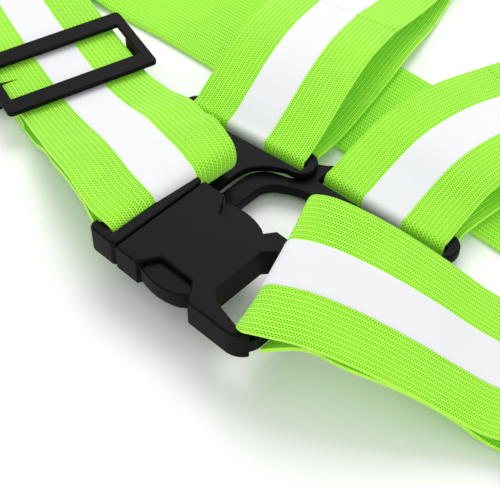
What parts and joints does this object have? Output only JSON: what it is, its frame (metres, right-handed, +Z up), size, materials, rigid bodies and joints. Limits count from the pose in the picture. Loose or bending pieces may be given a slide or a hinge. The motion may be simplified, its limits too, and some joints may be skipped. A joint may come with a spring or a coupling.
{
  "type": "high visibility harness vest",
  "caption": "Harness vest of wide elastic straps with reflective tape: a waist belt closed by a side release buckle, a plastic yoke and adjustable shoulder straps.",
  "frame": {"origin": "middle of the ground area under the laid-out vest", "axes": "+Z up from the table, +Y up the vest from the waist to the shoulders, +X across the waist from the buckle plug to the socket"},
  "size_m": [0.3836, 0.4206, 0.031],
  "materials": {
    "elastic": "ribbed knitted elastic, matte",
    "reflective_tape": "silver retroreflective coating, fine grain",
    "black_plastic": "moulded, fine grain",
    "steel": "plain",
    "thread": "dense zigzag sewing"
  },
  "bodies": {
    "harness": {"belt_left_fold": "elastic", "belt_rear": "elastic", "belt_right_fold": "elastic", "belt_right_upper": "elastic", "belt_right_return": "elastic", "shoulder_left_loop": "elastic", "shoulder_left_upper": "elastic", "shoulder_left_return": "elastic", "shoulder_right_loop": "elastic", "shoulder_right_upper": "elastic", "shoulder_right_return": "elastic", "rear_shoulder_left": "elastic", "rear_shoulder_right": "elastic", "belt_left_fold_tape": "reflective_tape", "belt_rear_tape": "reflective_tape", "belt_right_fold_tape": "reflective_tape", "belt_right_upper_tape": "reflective_tape", "belt_right_return_tape": "reflective_tape", "shoulder_left_loop_tape": "reflective_tape", "shoulder_left_upper_tape": "reflective_tape", "shoulder_left_return_tape": "reflective_tape", "shoulder_right_loop_tape": "reflective_tape", "shoulder_right_upper_tape": "reflective_tape", "shoulder_right_return_tape": "reflective_tape", "rear_shoulder_left_tape": "reflective_tape", "rear_shoulder_right_tape": "reflective_tape", "buckle_socket": "black_plastic", "yoke_right_plate": "black_plastic", "yoke_rivet": "steel", "yoke_washer": "steel", "belt_right_stitch": "thread", "shoulder_left_stitch": "thread", "shoulder_right_stitch": "thread", "rear_shoulder_left_stitch": "thread", "rear_shoulder_right_stitch": "thread"},
    "plug_side": {"buckle_plug": "black_plastic", "belt_left_upper": "elastic", "belt_left_upper_tape": "reflective_tape", "belt_left_return": "elastic", "belt_left_return_tape": "reflective_tape", "belt_left_stitch": "thread"},
    "near_prong": {"near_release_prong": "black_plastic"},
    "far_prong": {"far_release_prong": "black_plastic"},
    "left_yoke": {"yoke_left_plate": "black_plastic"},
    "belt_left_adjuster": {"belt_left_slider": "black_plastic"},
    "belt_right_adjuster": {"belt_right_slider": "black_plastic"},
    "shoulder_left_adjuster": {"shoulder_left_slider": "black_plastic"},
    "shoulder_right_adjuster": {"shoulder_right_slider": "black_plastic"},
    "rear_left_carrier": {"rear_shoulder_left_hanger": "black_plastic"},
    "rear_right_carrier": {"rear_shoulder_right_hanger": "black_plastic"}
  },
  "joints": [
    {"name": "buckle_draw", "type": "slide", "parent": "harness", "child": "plug_side", "axis": [-1, 0, 0], "range_m": [0, 0.03], "deforming": ["belt_left_fold", "belt_left_fold_tape", "near_release_prong", "far_release_prong"]},
    {"name": "near_prong_squeeze", "type": "hinge", "parent": "plug_side", "child": "near_prong", "pos_m": [-0.0164, -0.20601, 0.01302], "axis": [0, 0, 1], "range_deg": [0, 9], "stiffness_Nm_per_rad": 1.6},
    {"name": "far_prong_squeeze", "type": "hinge", "parent": "plug_side", "child": "far_prong", "pos_m": [-0.0164, -0.18181, 0.01302], "axis": [0, 0, -1], "range_deg": [0, 9], "stiffness_Nm_per_rad": 1.6},
    {"name": "yoke_pivot", "type": "hinge", "parent": "harness", "child": "left_yoke", "pos_m": [-0.0115, -0.19491, 0.00712], "axis": [0, 0, 1], "range_deg": [-2, 3], "deforming": ["shoulder_left_loop", "shoulder_left_loop_tape"]},
    {"name": "belt_left_adjust", "type": "slide", "parent": "plug_side", "child": "belt_left_adjuster", "axis": [-0.9593, 0.2823, 0], "range_m": [0, 0.012], "deforming": ["belt_left_return", "belt_left_return_tape", "belt_left_stitch"]},
    {"name": "belt_right_adjust", "type": "slide", "parent": "harness", "child": "belt_right_adjuster", "axis": [0.9063, 0.4226, 0], "range_m": [-0.003, 0.005], "deforming": ["belt_right_return", "belt_right_return_tape", "belt_right_stitch"]},
    {"name": "shoulder_left_adjust", "type": "slide", "parent": "harness", "child": "shoulder_left_adjuster", "axis": [-0.1942, 0.981, 0], "range_m": [-0.012, 0.04], "deforming": ["shoulder_left_return", "shoulder_left_return_tape", "shoulder_left_stitch"]},
    {"name": "shoulder_right_adjust", "type": "slide", "parent": "harness", "child": "shoulder_right_adjuster", "axis": [0.2504, 0.9681, 0], "range_m": [-0.012, 0.04], "deforming": ["shoulder_right_return", "shoulder_right_return_tape", "shoulder_right_stitch"]},
    {"name": "rear_left_hanger_slide", "type": "slide", "parent": "harness", "child": "rear_left_carrier", "axis": [1, 0, 0], "range_m": [-0.004, 0.01], "deforming": ["rear_shoulder_left", "rear_shoulder_left_tape", "rear_shoulder_left_stitch"]},
    {"name": "rear_right_hanger_slide", "type": "slide", "parent": "harness", "child": "rear_right_carrier", "axis": [-1, 0, 0], "range_m": [-0.004, 0.01], "deforming": ["rear_shoulder_right", "rear_shoulder_right_tape", "rear_shoulder_right_stitch"]}
  ]
}
